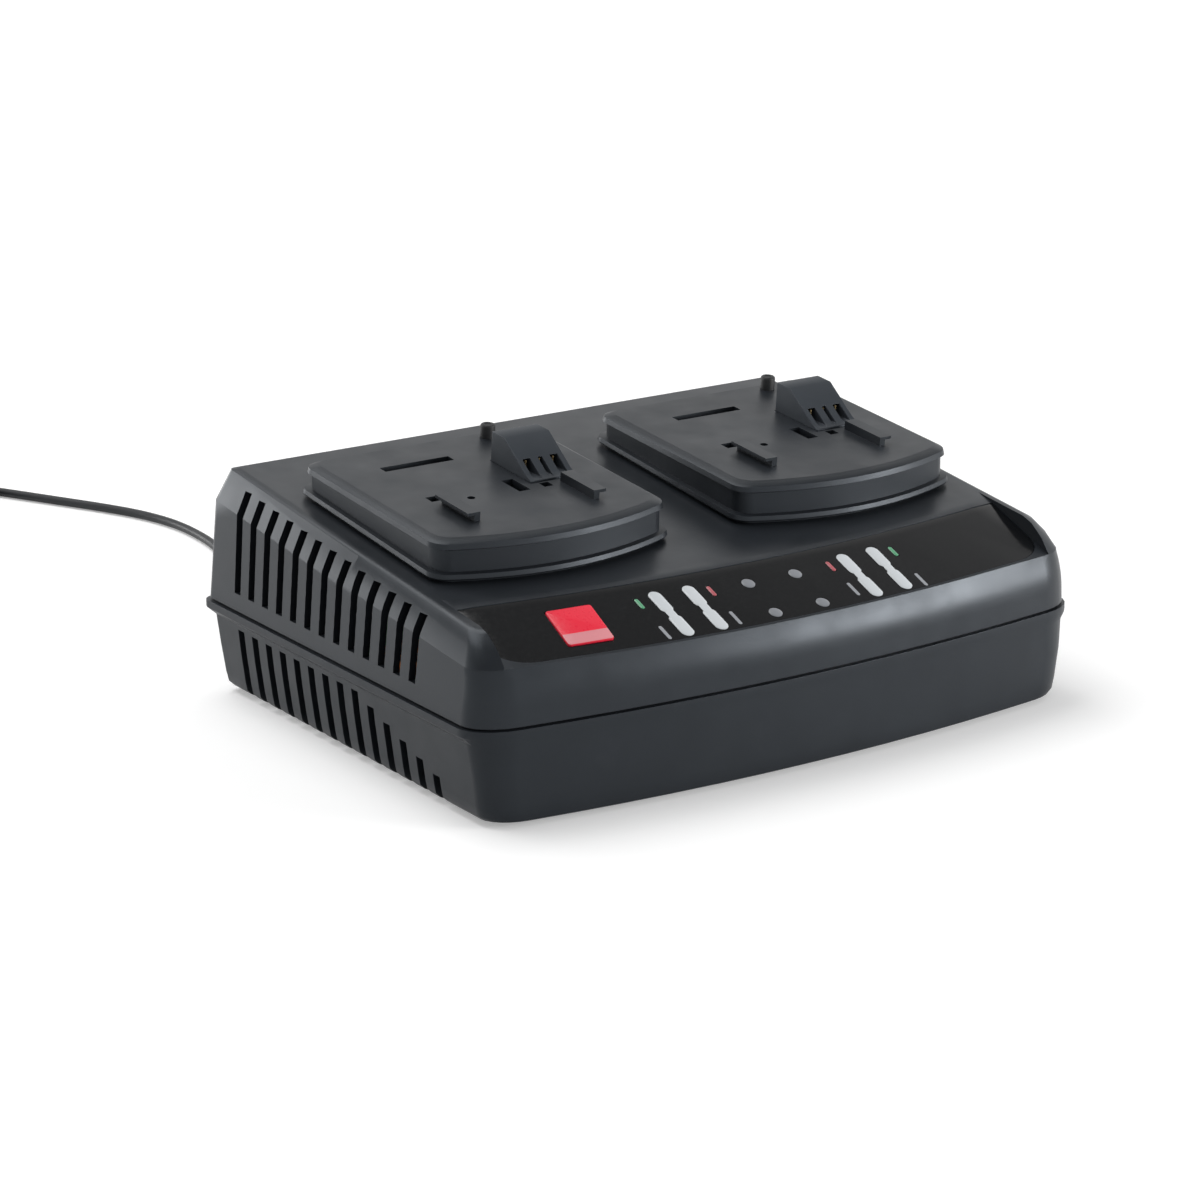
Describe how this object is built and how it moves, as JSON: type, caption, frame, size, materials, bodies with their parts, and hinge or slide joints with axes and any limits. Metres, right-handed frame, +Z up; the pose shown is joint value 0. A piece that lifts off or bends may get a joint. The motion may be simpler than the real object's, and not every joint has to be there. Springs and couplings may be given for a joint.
{
  "type": "twin-port battery charger",
  "caption": "Mains bench charger with two raised slide-on battery docks, a sloped glossy indicator strip, side louvres, an inner fan and board, and a cord with a plug.",
  "frame": {"origin": "centre of the object's footprint on the surface it stands on, its cord left out", "axes": "+X to the right seen from the front, +Y to the rear, where the cord leaves, +Z up"},
  "size_m": [0.3676, 0.5507, 0.1105],
  "materials": {
    "lower_shell": "fine-grained charcoal plastic",
    "cover_shell": "fine-grained charcoal plastic",
    "dock_shell": "satin charcoal plastic",
    "terminal_black": "satin dark plastic",
    "contact_brass": "plated",
    "screw_steel": "zinc plated",
    "panel_gloss": "glossy near black",
    "window_white": "milky light pipe",
    "dot_grey": "grey light pipe",
    "badge_red": "glossy red",
    "board_green": "coated board",
    "lamp_clear": "clear",
    "lead_grey": "satin",
    "terminal_green": "satin",
    "fuse_glass": "clear",
    "ferrite": "matt",
    "copper": "enamelled wire",
    "film_yellow": "satin",
    "capacitor_can": "printed-free sleeve",
    "sink_aluminium": "bare",
    "device_black": "epoxy",
    "winding_tape": "taped copper winding",
    "choke_copper": "wire on a ferrite ring",
    "relay_blue": "satin",
    "socket_white": "satin",
    "lead_red": "satin",
    "fan_black": "satin",
    "rotor_black": "satin",
    "foot_rubber": "matt",
    "cord_sheath": "satin sheath",
    "relief_rubber": "matt",
    "plug_plastic": "moulded",
    "pin_metal": "nickel plated"
  },
  "bodies": {
    "housing": {"lower_case": "lower_shell", "upper_cover": "cover_shell", "left_dock_plate": "dock_shell", "right_dock_plate": "dock_shell", "left_terminal_block": "terminal_black", "right_terminal_block": "terminal_black", "left_contact_blades": "contact_brass", "right_contact_blades": "contact_brass", "rear_stops": "terminal_black", "dock_screws": "screw_steel", "indicator_panel": "panel_gloss", "left_light_windows": "window_white", "right_light_windows": "window_white", "status_dots": "dot_grey", "badge_plate": "badge_red", "indicator_board": "board_green", "indicator_leds": "lamp_clear", "panel_screws": "screw_steel", "panel_lead": "lead_grey", "main_board": "board_green", "board_screws": "screw_steel", "inlet_terminal": "terminal_green", "mains_fuse": "fuse_glass", "fuse_clips": "contact_brass", "choke_core": "ferrite", "choke_winding": "copper", "filter_capacitor": "film_yellow", "bulk_capacitor": "capacitor_can", "primary_heat_sink": "sink_aluminium", "power_transistors": "device_black", "transformer_core": "ferrite", "transformer_winding": "winding_tape", "output_heat_sink": "sink_aluminium", "output_rectifiers": "device_black", "output_capacitors": "capacitor_can", "output_chokes": "choke_copper", "port_relays": "relay_blue", "control_chips": "device_black", "output_connectors": "socket_white", "panel_connector": "socket_white", "fan_connector": "socket_white", "left_dock_leads": "lead_red", "right_dock_leads": "lead_red", "fan_frame": "fan_black", "fan_lead": "lead_red", "case_screws": "screw_steel", "rubber_feet": "foot_rubber", "cord_clamp": "lower_shell", "clamp_screws": "screw_steel", "inlet_lead": "cord_sheath", "strain_relief": "relief_rubber", "mains_cord": "cord_sheath", "cord_coil": "cord_sheath", "cord_tail": "cord_sheath", "plug_body": "plug_plastic", "plug_pins": "pin_metal"},
    "fan": {"fan_rotor": "rotor_black"}
  },
  "joints": [
    {"name": "fan_spin", "type": "hinge", "parent": "housing", "child": "fan", "pos_m": [0.1185, 0.0153, 0.0331], "axis": [1, 0, 0], "continuous": true}
  ]
}
